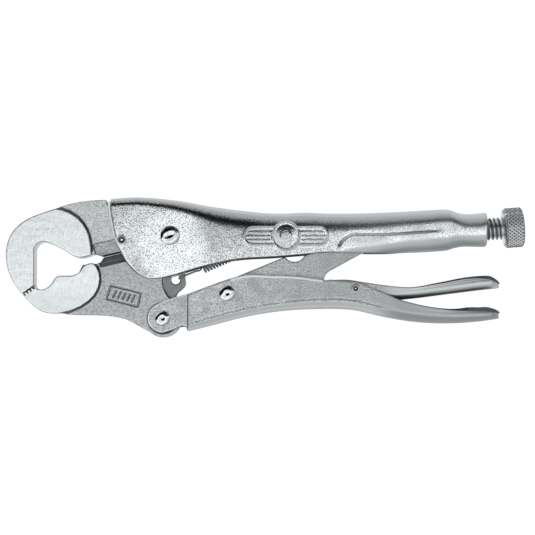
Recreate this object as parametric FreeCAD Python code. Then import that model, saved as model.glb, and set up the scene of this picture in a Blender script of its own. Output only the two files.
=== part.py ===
"""Ten-inch locking pliers, lying on their side: a toggle between the handles locks the moving jaw.

The parts are drawn about the tool's middle plane (z = 0, the plane the jaws bite in) with +X toward the
adjusting screw, then moved so that the origin is under the middle of the whole tool and z = 0 is the table.
"""
import FreeCAD
import Part
import math
import os
from FreeCAD import Vector

# ---- pivots, on the middle plane (mm)
JAW_PIVOT = (-47.3, 15.2)
HANDLE_PIVOT = (-50.8, -25.0)
TOGGLE_PIVOT = (-19.6, -12.9)
LEVER_PIVOT = (42.7, -10.6)
FIXED_JAW_PIN = (-70.8, 13.1)
TOGGLE_END = (51.1, 14.7)          # centre of the link's round end, in line with the two pivots before it
SPRING_HOLE = (-44.8, -6.1)

# ---- thicknesses, as half widths from the middle plane (mm)
SHANK_HALF = 5.2                   # the forged jaws between the cheeks
HEAD_HALF = 6.75                   # the jaws' biting heads
EAR_HALF = 2.4                     # the moving jaw's spring ear
TOGGLE_HALF = 4.1
CHEEK_IN = 5.5                     # inside of both handles' forks
UPPER_SHEET = 2.5
LOWER_SHEET = 2.1
LEVER_SHEET = 1.7

# ---- rivets: shaft radius, head radius
JAW_RIVET = (3.5, 4.7)
HANDLE_RIVET = (2.8, 3.6)
TOGGLE_RIVET = (2.9, 3.8)
LEVER_RIVET = (1.6, 2.2)
PIN_RIVET = (1.9, 2.3)
PIN_BORE = 1.3
LEVER_BORE = 0.8
# half widths of the lower handle's cheeks at those two rivets
TOGGLE_FACE = 6.9
LEVER_FACE = 8.6
HEAD_RISE = 1.1                    # how far a rivet's domed head stands proud
RUNNING = 0.05                     # radial clearance of a hole that turns on its rivet

# ---- adjusting screw
SCREW_TILT = 4.0                   # degrees that its axis rises toward the head
SCREW_END = 58.2                   # x of the tip, clear of the toggle's end
THREAD_R = 5.5
THREAD_ROOT = 4.6
THREAD_PITCH = 2.0
COLLAR_R = 8.4
COLLAR_END = 107.0
BORE_R = THREAD_R + 0.06
KNURL_R = 9.75
KNURL_START = 114.5
KNURL_LENGTH = 9.8

# ---- return spring
WIRE_R = 0.5
COIL_R = 2.3                       # radius of the wire's centre line
COIL_PITCH = 3.1
COILS = 12
SPRING_FRONT = (-32.0, -0.7)       # where the coils begin, and how steeply they rise toward the rear
SPRING_SLOPE = 23.5
SPRING_HOLE_R = 2.2

# ---- origin: under the middle of the whole tool, on the table; the drawing's x and y are already centred
ORIGIN_SHIFT = Vector(0.9, 0, KNURL_R)


def save(shape, name):
    """Write one node, moved from the middle plane to the table."""
    whole = shape.copy()
    whole.translate(ORIGIN_SHIFT)
    whole.exportStep("parts/%s.step" % name)


class Outline:
    """A closed outline on the middle plane, drawn as lines, arcs and smooth curves."""

    def __init__(self, x, y):
        self.first = self.last = Vector(x, y, 0)
        self.edges = []

    def line(self, *points):
        for x, y in points:
            self.add(Part.LineSegment(self.last, Vector(x, y, 0)), (x, y))
        return self

    def arc(self, middle, end):
        return self.add(Part.Arc(self.last, Vector(*middle, 0), Vector(*end, 0)), end)

    def curve(self, *points):
        spline = Part.BSplineCurve()
        spline.interpolate([self.last] + [Vector(x, y, 0) for x, y in points])
        return self.add(spline, points[-1])

    def add(self, piece, end):
        self.edges.append(piece.toShape())
        self.last = Vector(*end, 0)
        return self

    def plate(self, half, low=None):
        """The closed outline as a plate from -half (or low) to +half."""
        if not self.last.isEqual(self.first, 1e-6):
            self.line((self.first.x, self.first.y))
        low = -half if low is None else low
        face = Part.Face(Part.Wire(self.edges))
        solid = face.extrude(Vector(0, 0, half - low))
        solid.translate(Vector(0, 0, low))
        return solid


def on_circle(centre, radius, degrees):
    angle = math.radians(degrees)
    return (centre[0] + radius * math.cos(angle), centre[1] + radius * math.sin(angle))


def pin(centre, radius, half, low=None):
    """A cylinder across the tool."""
    low = -half if low is None else low
    return Part.makeCylinder(radius, half - low, Vector(centre[0], centre[1], low))


# ---- channels: sections of pressed sheet, lofted along X -------------------------------------------------

def rounded_section(x, corners):
    """A closed section in the plane at x; each corner is (y, z, radius)."""
    points = [Vector(x, y, z) for y, z, _ in corners]
    count = len(points)
    cuts = []
    for i, corner in enumerate(points):
        before = (points[i - 1] - corner).normalize()
        after = (points[(i + 1) % count] - corner).normalize()
        half_angle = before.getAngle(after) / 2
        radius = corners[i][2]
        reach = radius / math.tan(half_angle)
        bisector = (before + after).normalize()
        middle = corner + bisector * (radius / math.sin(half_angle) - radius)
        cuts.append((corner + before * reach, middle, corner + after * reach))
    edges = []
    for i, (start, middle, end) in enumerate(cuts):
        edges.append(Part.Arc(start, middle, end).toShape())
        edges.append(Part.LineSegment(end, cuts[(i + 1) % count][0]).toShape())
    return Part.Wire(edges)


def channel_loft(stations, sheet, lift=0):
    """Loft sections shrunk by sheet, with their tops lifted along the walls' own slope."""
    wires = []
    for x, top, bottom, half_top, half_bottom, radius_top, radius_bottom in stations:
        half_top += (half_top - half_bottom) * lift / (top - bottom)
        top += lift
        top_radius = max(radius_top - sheet, 0.5)
        bottom_radius = max(radius_bottom - sheet, 0.5)
        corners = [(top - sheet, half_top - sheet, top_radius),
                   (bottom + sheet, half_bottom - sheet, bottom_radius),
                   (bottom + sheet, sheet - half_bottom, bottom_radius),
                   (top - sheet, sheet - half_top, top_radius)]
        wires.append(rounded_section(x, corners))
    return Part.makeLoft(wires, True, False)


# ---- upper handle ----------------------------------------------------------------------------------------

# x, top, bottom, half width above and below, bend radius above and below; the nose is open below
NOSE = [(-82, 32.9, -20, 8.0, 8.0, 3.2, 0.5), (-60, 34.0, -20, 8.0, 8.0, 3.6, 0.5),
        (-40, 31.9, -20, 8.0, 8.0, 4.6, 0.5), (-18, 28.3, -20, 8.0, 8.0, 6.4, 0.5),
        (0, 26.6, -20, 8.0, 8.0, 6.6, 0.5), (20, 26.4, -20, 8.1, 8.1, 6.8, 0.5)]
BARREL = [(20, 26.4, 6.2, 8.1, 8.1, 6.8, 0.6), (34, 26.4, 7.1, 8.2, 8.2, 7.0, 2.2),
          (50, 26.6, 6.9, 8.5, 8.5, 7.2, 5.2), (68, 27.3, 7.2, 8.8, 8.8, 7.4, 7.6),
          (84, 28.2, 8.0, 8.9, 8.9, 7.6, 8.5), (89, 28.2, 8.5, 8.9, 8.9, 7.8, 8.7)]
NECK_R = 8.1                       # the waist between the barrel and the collar
NECK = (87, 95)
SLOT_HALF = 4.7
SLIT_HALF = 1.2


def screw_y(x):
    """Height of the screw's axis at x; it passes through the toggle's end."""
    return TOGGLE_END[1] + (x - TOGGLE_END[0]) * math.tan(math.radians(SCREW_TILT))


def screw_rod(radius, start, length):
    """A cylinder on the screw's axis, from x = start."""
    axis = Vector(math.cos(math.radians(SCREW_TILT)), math.sin(math.radians(SCREW_TILT)), 0)
    return Part.makeCylinder(radius, length, Vector(start, screw_y(start), 0), axis)


def upper_side():
    """Side outline of the upper handle: the nose, the open lower edge, and clear of the barrel behind."""
    side = Outline(-78.2, 45)
    side.line((-77.8, 31))
    side.curve((-77.1, 25), (-74.7, 13.9), (-68.6, 2.2), (-62.8, -3.4), (-56, -6))
    side.curve((-47.3, -4.6), (-32.7, -0.2), (-16.2, 3.5), (3.6, 4.9), (18.2, 6.1), (27, 7.0))
    side.line((27, 5), (112, 5), (112, 45))
    return side.plate(20)


def slot_plan():
    """The opening along the underside: the toggle's slot, then the seam between the curled edges."""
    slot = Part.makeBox(26, 20, 2 * CHEEK_IN, Vector(10, -4, -CHEEK_IN))
    narrow = Part.makeBox(24, 12, 2 * SLOT_HALF, Vector(32, 2, -SLOT_HALF))
    end = Part.makeCylinder(SLOT_HALF, 12, Vector(56, 2, 0), Vector(0, 1, 0))
    seam = Part.makeBox(32, 10, 2 * SLIT_HALF, Vector(57, 3, -SLIT_HALF))
    return [slot, narrow, end, seam]


def collar():
    """The threaded collar: a short ring on the screw's axis with a turned-down neck."""
    neck = screw_rod(NECK_R, NECK[0], NECK[1] - NECK[0])
    ring = screw_rod(COLLAR_R, NECK[1] - 0.5, COLLAR_END - NECK[1] + 0.5)
    return neck.fuse(ring)


def spring_tab():
    """The tab lanced down from the roof that holds the rear hook of the spring."""
    tab = Part.makeBox(1.6, 11, 5, Vector(8.4, 14.2, -2.5))
    hole = Part.makeCylinder(0.9, 6, Vector(6, 16.8, 0), Vector(1, 0, 0))
    return tab.cut(hole)


def upper_handle():
    outer = channel_loft(NOSE, 0).common(upper_side()).fuse(channel_loft(BARREL, 0)).fuse(collar())
    nose_in = [(x, top, bottom - 10, a, b, ra, rb) for x, top, bottom, a, b, ra, rb in NOSE]
    hollow = channel_loft(nose_in, UPPER_SHEET).fuse(channel_loft(BARREL, UPPER_SHEET))
    shell = outer.cut(hollow).cut(slot_plan()).fuse(spring_tab())
    shell = shell.cut(screw_rod(BORE_R, 80, 40))
    return shell.cut([pin(JAW_PIVOT, JAW_RIVET[0], 20), pin(FIXED_JAW_PIN, PIN_RIVET[0], 20)])


# ---- jaws ------------------------------------------------------------------------------------------------

HUB_R = 9.0                        # the moving jaw's hub on its pivot
BOSS_R = 9.2                       # its boss on the handle's pivot
HUB_GAP = 0.5
NOTCHES = 4                        # small notches across the moving jaw's tip
NOTCH_DEPTH = 1.1
# the wire cutter's bevels, as (distance from the cutting edge, half thickness)
UPPER_BEVEL = [(0, 0.5), (0.6, 3.4), (6.4, 4.3), (7.4, SHANK_HALF)]
LOWER_BEVEL = [(0, 0.5), (0.45, 2.4), (2.7, 2.8), (4.9, SHANK_HALF)]
TIP_OUT = (-119.2, -13.1)
TIP_IN = (-113.5, -9.0)


def notched_tip(outline, start, end):
    """A line from start to end with small V notches to its right."""
    dx = (end[0] - start[0]) / NOTCHES
    dy = (end[1] - start[1]) / NOTCHES
    length = math.hypot(dx, dy)
    deep_x = dy / length * NOTCH_DEPTH
    deep_y = -dx / length * NOTCH_DEPTH
    for i in range(NOTCHES):
        for share, drop in ((0.25, 0), (0.5, 1), (0.75, 0)):
            x = start[0] + dx * (i + share) + deep_x * drop
            y = start[1] + dy * (i + share) + deep_y * drop
            outline.line((x, y))
    return outline.line(end)


def fixed_head_side():
    """Outline of the fixed jaw's head: outer arc, step arc and the mouth."""
    head = Outline(-103.7, 28.3)
    head.curve((-111.4, 25.6), (-119.2, 21.8), (-125.0, 15.4), (-127.2, 6.5), (-125.6, -3), (-122.6, -8.9),
               TIP_OUT)
    head.line(TIP_IN, (-113.5, 8.2)).arc((-112.0, 11.4), (-108.4, 12.4))
    head.curve((-105.6, 11.5), (-98.4, 7.8), (-91.5, 4.6), (-88.6, 5.0), (-85.7, 5.9))
    return head.curve((-86.2, 11), (-89.1, 19.8), (-94, 24.9), (-103.7, 28.3))


def fixed_shank_side():
    """Outline of the fixed jaw's shank, from inside the head to its seat round the moving jaw's hub."""
    seat = HUB_R + HUB_GAP
    shank = Outline(-104.5, 27.9)
    shank.curve((-96.3, 30.8), (-86.6, 32.4), (-78.6, 32.8)).line((-78.2, 30.2), (-60, 31.0), (-51, 29.6))
    shank.line(on_circle(JAW_PIVOT, seat, 103))
    shank.arc(on_circle(JAW_PIVOT, seat, 150), on_circle(JAW_PIVOT, seat, 199))
    return shank.line((-70, 7.42), (-80.3, 5.04), (-83.4, 6.2), (-92, 6.0), (-104, 14))


def cutter_bevel(start, end, side, profile):
    """Prisms that thin both faces toward the cutting edge from start to end, by the bevel's profile.

    The jaw lies to the left of the edge if side is 1, and to its right if side is -1.
    """
    dx, dy = end[0] - start[0], end[1] - start[1]
    length = math.hypot(dx, dy)
    normal = (-dy / length * side, dx / length * side)
    prisms = []
    for face in (1, -1):
        section = [(profile[-1][0], HEAD_HALF), (-1, HEAD_HALF), (-1, profile[0][1])] + profile
        points = [Vector(start[0] + normal[0] * s, start[1] + normal[1] * s, z * face) for s, z in section]
        wire = Part.makePolygon(points + points[:1])
        prisms.append(Part.Face(wire).extrude(Vector(dx, dy, 0)))
    return prisms


def fixed_jaw():
    head = fixed_head_side().plate(HEAD_HALF)
    shank = fixed_shank_side().plate(SHANK_HALF)
    shank = shank.cut(cutter_bevel((-83.3, 4.35), (-71.2, 7.14), 1, UPPER_BEVEL))
    return head.fuse(shank).cut(pin(FIXED_JAW_PIN, PIN_RIVET[0], 20)).removeSplitter()


def moving_head_side():
    """Outline of the moving jaw's head: two scallops in the mouth, step arc and outer curve."""
    gap = 0.28
    start = (TIP_OUT[0] + 0.2, TIP_OUT[1] - gap)
    inner = (TIP_IN[0] + 0.1, TIP_IN[1] - gap)
    head = Outline(*start)
    notched_tip(head, start, inner)
    head.curve((-112.2, -10.5), (-110.3, -11.1), (-108, -10.6), (-105.4, -8.8), (-103.4, -5.7),
               (-100.8, -4.3))
    head.line((-95.6, -4.3))
    head.curve((-93.2, -3.7), (-91.2, -2.3), (-89.6, 0.1), (-87.6, 1.4), (-84.7, 1.7))
    head.curve((-82.6, -1.0), (-81.6, -6.4), (-83.8, -13), (-89.3, -18.2), (-96, -21.3), (-101, -22.5))
    return head.curve((-105, -22.6), (-109, -21.9), (-113, -19.5), start)


def moving_shank_side():
    """Outline of the moving jaw behind its head: cutting edge, hub, spring ear's root, boss and belly."""
    shank = Outline(-90, 1.0)
    shank.line((-84.7, 1.7)).curve((-82.9, 1.6), (-81.4, 2.6), (-80.2, 4.9))
    shank.line((-70, 7.3), on_circle(JAW_PIVOT, HUB_R, 200))
    shank.arc(on_circle(JAW_PIVOT, HUB_R, 100), on_circle(JAW_PIVOT, HUB_R, 0))
    shank.line((-38.6, 4)).curve((-45, -1), (-51.0, -5.4), (-50.6, -10.5), (-47.2, -15.6))
    shank.curve((-43.6, -19.5), on_circle(HANDLE_PIVOT, BOSS_R, 10))
    shank.arc(on_circle(HANDLE_PIVOT, BOSS_R, -80), on_circle(HANDLE_PIVOT, BOSS_R, 226))
    shank.curve((-61.1, -29.6), (-67, -26.3), (-75.7, -24), (-84, -23.4), (-96, -23.1), (-100.6, -22.4))
    return shank.line((-96, -12))


def spring_ear():
    """The thin ear behind the shank with the spring's hole."""
    ear = Outline(-52.5, 0)
    ear.line((-40.2, 0), (-40.0, -6.4)).curve((-41.0, -10.2), (-43.9, -12.8), (-44.4, -15.5))
    ear.line((-44.6, -20), (-52, -20))
    return ear.plate(EAR_HALF).cut(pin(SPRING_HOLE, SPRING_HOLE_R, 10))


def moving_jaw():
    head = moving_head_side().plate(HEAD_HALF)
    shank = moving_shank_side().plate(SHANK_HALF)
    shank = shank.cut(cutter_bevel((-82.4, 4.3), (-69.0, 7.5), -1, LOWER_BEVEL))
    body = head.fuse([shank, spring_ear()])
    holes = [pin(JAW_PIVOT, JAW_RIVET[0] + RUNNING, 20), pin(HANDLE_PIVOT, HANDLE_RIVET[0] + RUNNING, 20)]
    return body.cut(holes).removeSplitter()


# ---- lower handle, toggle link and release lever ---------------------------------------------------------

# x, top, bottom, half width above and below, bend radius above and below; the rear ends flare like a spoon
LOWER = [(-40, 12, -31.6, 6.8, 6.8, 0.5, 4.4), (-26, 12, -28.1, 6.8, 6.8, 0.5, 5.0),
         (-12, 12, -24.5, 6.9, 6.9, 0.5, 5.0), (4, 12, -21.7, 7.5, 7.4, 0.5, 5.0),
         (24, 12, -20.4, 8.5, 8.5, 0.5, 5.8), (42, 12, -20.9, 8.6, 8.5, 0.5, 5.6),
         (56, -4, -24.0, 8.7, 8.5, 0.5, 5.6), (72, -13, -26.6, 8.9, 8.1, 0.5, 5.2),
         (90, -18, -27.3, 9.4, 7.0, 0.5, 4.4), (104, -19, -26.3, 9.4, 6.4, 0.5, 4.0),
         (114, -20, -24.9, 8.4, 6.0, 0.5, 4.0)]
LEVER = [(26, 4, -12.0, 6.1, 6.1, 0.5, 2.6), (34, 4, -16.0, 6.1, 6.1, 0.5, 3.2),
         (44, 4, -17.4, 6.1, 6.1, 0.5, 3.4), (58, -2, -16.4, 6.2, 6.0, 0.5, 3.6),
         (72, -6, -15.1, 6.9, 5.8, 0.5, 3.6), (88, -4, -13.1, 8.8, 5.6, 0.5, 3.6),
         (104, -3, -11.1, 9.2, 5.6, 0.5, 3.6), (114, -5, -10.0, 8.2, 5.4, 0.5, 3.0)]
LIFT = 8                           # how far a hollow's top stands above its rims, to leave the channel open
EAR_R = 7.3
EYE_R = 5.9
TOGGLE_TIP_R = 4.6


def lower_side():
    """Side outline of the lower handle behind its joggle: rims above, clear below, and a pointed end."""
    side = Outline(-39.2, -13.3)
    side.line((-13.6, -4.4))
    side.curve((-11.6, -4.0), (1.2, -4.1), (15.8, -4.8), (26.4, -6.3), (37.6, -7.0), (44.9, -8.0))
    side.curve((49.7, -9.9), (57, -12.8), (64.3, -16.0), (69.1, -17.4), (78.8, -19.6), (88.5, -21.0))
    side.curve((98.2, -21.8), (107.9, -22.1), (111.4, -22.9), (112.8, -24.4))
    side.line((113, -40), (-38.9, -40), (-39.2, -30.2))
    return side.plate(20)


def fork_ears():
    """The two ears round the moving jaw's boss, outside the joggle."""
    ears = Outline(*on_circle(HANDLE_PIVOT, EAR_R, 115))
    ears.arc(on_circle(HANDLE_PIVOT, EAR_R, 180), on_circle(HANDLE_PIVOT, EAR_R, 270))
    ears.curve((-47.3, -31.2), (-43.4, -29.5), (-41.2, -28.7), (-38.4, -30.4)).line((-38.4, -13.0))
    ears.curve((-44, -14.6), (-50.5, -16.6), on_circle(HANDLE_PIVOT, EAR_R, 115))
    return ears.plate(CHEEK_IN + LOWER_SHEET).cut(pin(HANDLE_PIVOT, 30, CHEEK_IN))


def lower_handle():
    outer = channel_loft(LOWER, 0).common(lower_side())
    shell = outer.cut(channel_loft(LOWER, LOWER_SHEET, LIFT)).fuse(fork_ears())
    holes = [pin(HANDLE_PIVOT, HANDLE_RIVET[0], 20), pin(TOGGLE_PIVOT, TOGGLE_RIVET[0], 20),
             pin(LEVER_PIVOT, LEVER_RIVET[0], 20)]
    return shell.cut(holes).cut(pin(HANDLE_PIVOT, BOSS_R + 0.6, CHEEK_IN))


def toggle_link():
    link = Outline(*on_circle(TOGGLE_PIVOT, EYE_R, 112.5))
    link.line((8.5, 5.0)).arc((12.8, 2.6), (18.0, 5.6)).line(on_circle(TOGGLE_END, TOGGLE_TIP_R, 112))
    link.arc(on_circle(TOGGLE_END, TOGGLE_TIP_R, 20), on_circle(TOGGLE_END, TOGGLE_TIP_R, -63))
    link.line((32.2, -0.8)).curve((29.2, -2.7), (27.9, -4.6), (27.9, -7.6)).line((22, -9))
    link.line(on_circle(TOGGLE_PIVOT, EYE_R, -68))
    link.arc(on_circle(TOGGLE_PIVOT, EYE_R, 202), on_circle(TOGGLE_PIVOT, EYE_R, 112.5))
    return link.plate(TOGGLE_HALF).cut(pin(TOGGLE_PIVOT, TOGGLE_RIVET[0] + RUNNING, 20))


def lever_side():
    """Side outline of the release lever."""
    side = Outline(26.6, -9.0)
    side.curve((28.4, -6.9), (33, -6.3), (40, -6.3), (44.9, -7.1), (57, -8.9), (70.1, -10), (83.7, -8.2))
    side.curve((98.2, -5.9), (103.1, -5.8), (107.9, -6.5), (111.6, -8.1), (113, -10.0))
    side.line((113.2, -24), (26, -24))
    return side.plate(20)


def release_lever():
    outer = channel_loft(LEVER, 0).common(lever_side())
    shell = outer.cut(channel_loft(LEVER, LEVER_SHEET, LIFT))
    return shell.cut(pin(LEVER_PIVOT, LEVER_RIVET[0] + RUNNING, 20))


# ---- rivets, spring and screw ----------------------------------------------------------------------------

def rivet(centre, sizes, face):
    """A rivet with a rounded head and a centre dimple on both sides, over cheeks of half width face."""
    shaft, head = sizes
    whole = pin((0, 0), shaft, face)
    for side in (1, -1):
        disc = Part.makeCylinder(head, HEAD_RISE, Vector(0, 0, face))
        upper = face + HEAD_RISE / 2
        rim = [edge for edge in disc.Edges if edge.BoundBox.ZMin > upper and edge.Length > head]
        dimple = Part.makeSphere(head, Vector(0, 0, face + HEAD_RISE * 0.7 + head))
        disc = disc.makeFillet(HEAD_RISE * 0.8, rim).cut(dimple)
        whole = whole.fuse(disc if side > 0 else disc.mirror(Vector(), Vector(0, 0, 1)))
    whole.translate(Vector(centre[0], centre[1], 0))
    return whole


def tubular_rivet(centre, sizes, face, bore):
    """A rivet with a flat rolled rim and a blind bore in both ends."""
    shaft, head = sizes
    whole = pin(centre, shaft, face + 0.2)
    for low in (face, -face - 0.5):
        whole = whole.fuse(pin(centre, head, low + 0.5, low))
    for low in (face - 3, -face - 1):
        whole = whole.cut(pin(centre, bore, low + 4, low))
    return whole.removeSplitter()


def return_spring():
    """Coils from the ear to the roof's tab, with a hook through each hole."""
    slope = math.radians(SPRING_SLOPE)
    axis = Vector(math.cos(slope), math.sin(slope), 0)
    front = Vector(*SPRING_FRONT, 0)
    rear = front + axis * (COIL_PITCH * COILS)
    helix = Part.makeHelix(COIL_PITCH, COIL_PITCH * COILS, COIL_R)
    ring = Part.Wire(Part.makeCircle(WIRE_R, Vector(COIL_R, 0, 0), Vector(0, 1, 0)))
    coils = Part.Wire(helix.Edges).makePipeShell([ring], True, True)
    coils.rotate(Vector(), Vector(0, 0, 1), 180)
    coils.rotate(Vector(), Vector(0, 1, 0), 90)
    coils.rotate(Vector(), Vector(0, 0, 1), SPRING_SLOPE)
    coils.translate(front)
    if coils.Volume < 0:
        coils.reverse()
    up = Vector(0, 0, COIL_R)
    beside_ear = EAR_HALF + WIRE_R + 0.3
    hole = Vector(*SPRING_HOLE, 0) + axis * (SPRING_HOLE_R - WIRE_R - 0.1)
    lift = Vector(0, 0, beside_ear)
    front_hook = wire_run([front + up, front - axis * 1.8 + lift, hole + axis * 2.2 + lift, hole + lift,
                           hole - lift])
    rear_hook = wire_run([rear + up, rear + axis + up * 0.4, Vector(9.6, 16.8, 0)])
    return coils.fuse([front_hook, rear_hook])


def wire_run(points):
    """Round wire along straight runs with ball joints."""
    run = Part.makeSphere(WIRE_R, points[0])
    for a, b in zip(points, points[1:]):
        run = run.fuse([Part.makeCylinder(WIRE_R, (b - a).Length, a, b - a), Part.makeSphere(WIRE_R, b)])
    return run


def adjusting_screw():
    """A threaded rod and its knurled head; the thread is cut as a helix."""
    length = KNURL_START + 1 - SCREW_END
    knob = Part.makeCylinder(KNURL_R, KNURL_LENGTH, Vector(0, 0, length))
    core = Part.makeCylinder(THREAD_ROOT, length).fuse(knob)
    head_edges = [edge for edge in core.Edges if edge.BoundBox.XLength > 2 * THREAD_ROOT + 2]
    core = core.makeChamfer(0.9, [edge for edge in head_edges if edge.Length > 6 * KNURL_R - 8])
    turns = (length - 3) / THREAD_PITCH
    helix = Part.makeHelix(THREAD_PITCH, THREAD_PITCH * turns, THREAD_ROOT)
    root = THREAD_ROOT - 0.1
    corners = [Vector(root, 0, -0.9), Vector(THREAD_R, 0, -0.15), Vector(THREAD_R, 0, 0.15),
               Vector(root, 0, 0.9)]
    tooth = Part.makePolygon(corners + corners[:1])
    thread = Part.Wire(helix.Edges).makePipeShell([tooth], True, True)
    thread.translate(Vector(0, 0, 1.2))
    screw = core.fuse(thread)
    screw.rotate(Vector(), Vector(0, 1, 0), 90)
    screw.rotate(Vector(), Vector(0, 0, 1), SCREW_TILT)
    screw.translate(Vector(SCREW_END, screw_y(SCREW_END), 0))
    return screw


def main():
    os.makedirs("parts", exist_ok=True)
    upper_face = CHEEK_IN + UPPER_SHEET
    save(upper_handle(), "upper_handle")
    save(fixed_jaw(), "fixed_jaw")
    save(tubular_rivet(FIXED_JAW_PIN, PIN_RIVET, upper_face, PIN_BORE), "fixed_jaw_rivet")
    save(moving_jaw(), "moving_jaw")
    save(rivet(JAW_PIVOT, JAW_RIVET, upper_face), "jaw_pivot_rivet")
    save(lower_handle(), "lower_handle")
    save(rivet(HANDLE_PIVOT, HANDLE_RIVET, CHEEK_IN + LOWER_SHEET), "handle_pivot_rivet")
    save(toggle_link(), "toggle_link")
    save(rivet(TOGGLE_PIVOT, TOGGLE_RIVET, TOGGLE_FACE), "toggle_rivet")
    save(release_lever(), "release_lever")
    save(tubular_rivet(LEVER_PIVOT, LEVER_RIVET, LEVER_FACE, LEVER_BORE), "release_lever_rivet")
    save(return_spring(), "return_spring")
    save(adjusting_screw(), "adjusting_screw")


main()
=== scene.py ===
"""The looks of a pair of ten-inch locking pliers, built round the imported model.

Sizes here are in millimetres on the drawing of the tool, whose origin START is on the middle plane.
They become metres in the row frame when a mesh is made.
"""
import bpy
import math
import numpy as np
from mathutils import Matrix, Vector, noise


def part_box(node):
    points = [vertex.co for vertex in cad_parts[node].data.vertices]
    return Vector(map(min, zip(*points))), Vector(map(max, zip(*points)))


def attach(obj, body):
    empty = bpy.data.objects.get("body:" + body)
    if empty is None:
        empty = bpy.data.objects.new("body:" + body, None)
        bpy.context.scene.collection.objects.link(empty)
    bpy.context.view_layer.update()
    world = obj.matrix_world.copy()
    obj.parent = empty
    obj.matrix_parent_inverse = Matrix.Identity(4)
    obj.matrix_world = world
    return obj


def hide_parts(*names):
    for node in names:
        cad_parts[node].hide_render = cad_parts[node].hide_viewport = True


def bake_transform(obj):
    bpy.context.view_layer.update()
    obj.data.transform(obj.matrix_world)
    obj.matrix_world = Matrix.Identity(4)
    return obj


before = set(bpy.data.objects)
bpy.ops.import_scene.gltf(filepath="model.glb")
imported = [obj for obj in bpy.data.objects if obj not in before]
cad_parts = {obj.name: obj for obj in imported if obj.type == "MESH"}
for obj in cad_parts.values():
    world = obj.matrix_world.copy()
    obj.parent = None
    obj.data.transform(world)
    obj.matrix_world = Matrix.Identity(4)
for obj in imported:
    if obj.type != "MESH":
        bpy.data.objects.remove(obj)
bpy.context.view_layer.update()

MM = 0.001
MID = (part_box("toggle_link")[0][2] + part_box("toggle_link")[1][2]) / 2 / MM
START = np.array([0.9, 0, MID])    # where the drawing's own origin stands in the row frame
SHANK_HALF = 5.2
HEAD_HALF = 6.75
UPPER_SHEET = 2.5
LOWER_SHEET = 2.1
LEVER_SHEET = 1.7
SCREW_SLOPE = math.radians(4)
KNURL_START = 114.5


# ---- small helpers ---------------------------------------------------------------------------------------

def centre(node):
    """Middle of a CAD node's box, on the drawing."""
    low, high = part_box(node)
    return np.array([(a + b) / 2 / MM for a, b in zip(low, high)]) - START


def half_height(node):
    """Half of a CAD node's height above and below the middle plane, in mm."""
    low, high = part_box(node)
    return (high[2] - low[2]) / 2 / MM


def smooth_curve(points):
    """A function through (x, y) points with continuous slope, level beyond its ends."""
    xs, ys = np.array(points, float).T
    slopes = np.gradient(ys, xs)

    def value(x):
        x = np.clip(np.asarray(x, float), xs[0], xs[-1])
        i = np.clip(np.searchsorted(xs, x) - 1, 0, len(xs) - 2)
        h = xs[i + 1] - xs[i]
        t = (x - xs[i]) / h
        rise = (3 - 2 * t) * t * t
        return (ys[i] * (1 - rise) + ys[i + 1] * rise
                + h * t * (1 - t) * ((1 - t) * slopes[i] - t * slopes[i + 1]))
    return value


def step(low, high, x):
    """0 below low, 1 above high, and a smooth rise between."""
    t = np.clip((np.asarray(x, float) - low) / (high - low), 0, 1)
    return t * t * (3 - 2 * t)


def arc(middle, radius, start, end, count):
    """Points on a circle from start to end degrees."""
    angles = np.radians(np.linspace(start, end, count))
    return np.stack([middle[0] + radius * np.cos(angles), middle[1] + radius * np.sin(angles)], -1)


def spaced(line, count, power=1.0):
    """A polyline resampled to count points; a power above 1 packs them toward its start."""
    lengths = np.concatenate([[0], np.cumsum(np.linalg.norm(np.diff(line, axis=0), axis=1))])
    wanted = lengths[-1] * np.linspace(0, 1, count) ** power
    return np.stack([np.interp(wanted, lengths, line[:, k]) for k in range(line.shape[1])], -1)


def line_distance(points, line, closed=False):
    """Distance from each (x, y) point to a polyline."""
    line = np.asarray(line, float)
    if closed:
        line = np.vstack([line, line[:1]])
    nearest = np.full(len(points), 1e9)
    for a, b in zip(line, line[1:]):
        run = b - a
        t = np.clip(((points - a) @ run) / max(run @ run, 1e-12), 0, 1)
        nearest = np.minimum(nearest, np.linalg.norm(points - a - t[:, None] * run, axis=1))
    return nearest


def make_mesh(name, points, faces):
    """A smooth-shaded object from points in mm on the drawing."""
    points = np.asarray(points, float) + START
    mesh = bpy.data.meshes.new(name)
    mesh.from_pydata((points * MM).tolist(), [], [tuple(int(i) for i in face) for face in faces])
    return link_mesh(name, mesh)


def link_mesh(name, mesh):
    mesh.validate()
    mesh.polygons.foreach_set("use_smooth", [True] * len(mesh.polygons))
    mesh.update()
    piece = bpy.data.objects.new(name, mesh)
    bpy.context.scene.collection.objects.link(piece)
    return piece


def grid_faces(rows, columns, wrap=False):
    """Quads of a grid of points; wrap joins the last column to the first."""
    index = np.arange(rows * columns).reshape(rows, columns)
    if wrap:
        index = np.hstack([index, index[:, :1]])
    corners = [index[:-1, :-1], index[1:, :-1], index[1:, 1:], index[:-1, 1:]]
    return np.stack(corners, -1).reshape(-1, 4)


def relaxed(points, faces, weight, times):
    """Points moved toward their neighbours' mean, each by its own weight."""
    faces = np.asarray(faces)
    edges = np.vstack([faces[:, [i, (i + 1) % 4]] for i in range(4)])
    ends = np.concatenate([edges, edges[:, ::-1]])
    count = np.maximum(np.bincount(ends[:, 0], minlength=len(points)), 1)
    for _ in range(times):
        sums = [np.bincount(ends[:, 0], points[ends[:, 1], k], len(points)) / count for k in range(3)]
        mean = np.stack(sums, -1)
        points = points + (mean - points) * weight[:, None]
    return points


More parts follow.
